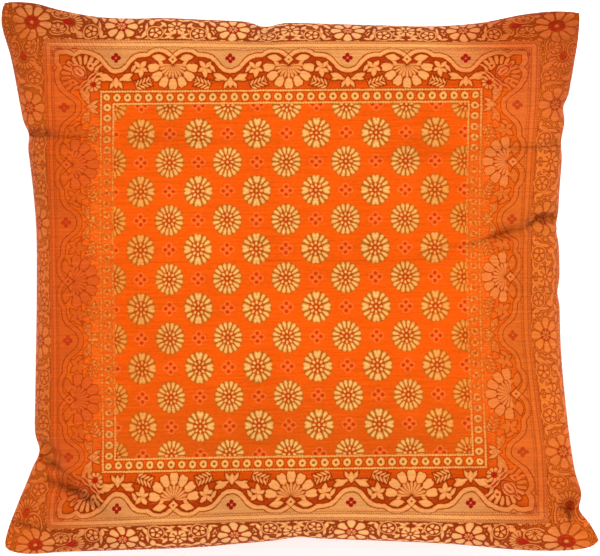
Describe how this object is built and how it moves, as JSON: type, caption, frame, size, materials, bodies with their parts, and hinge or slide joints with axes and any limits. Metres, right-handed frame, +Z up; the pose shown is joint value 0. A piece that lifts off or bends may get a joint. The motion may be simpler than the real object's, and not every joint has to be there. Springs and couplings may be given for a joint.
{
  "type": "cushion cover",
  "caption": "Filled square brocade cushion cover lying on its back, with drawn-in sides, a knife-edge seam, a flower-bordered face and a plain back.",
  "frame": {"origin": "on the surface the cushion lies on, under the middle of its outline", "axes": "+Z up, out of the patterned face; +X to the right of that face, along its longer way; +Y to its top"},
  "size_m": [0.4173, 0.3852, 0.1195],
  "materials": {
    "brocade": "woven satin with raised gold weft",
    "plain_silk": "plain weave with a soft sheen"
  },
  "bodies": {
    "root": {"front_panel": "brocade", "back_panel": "plain_silk"}
  },
  "joints": []
}
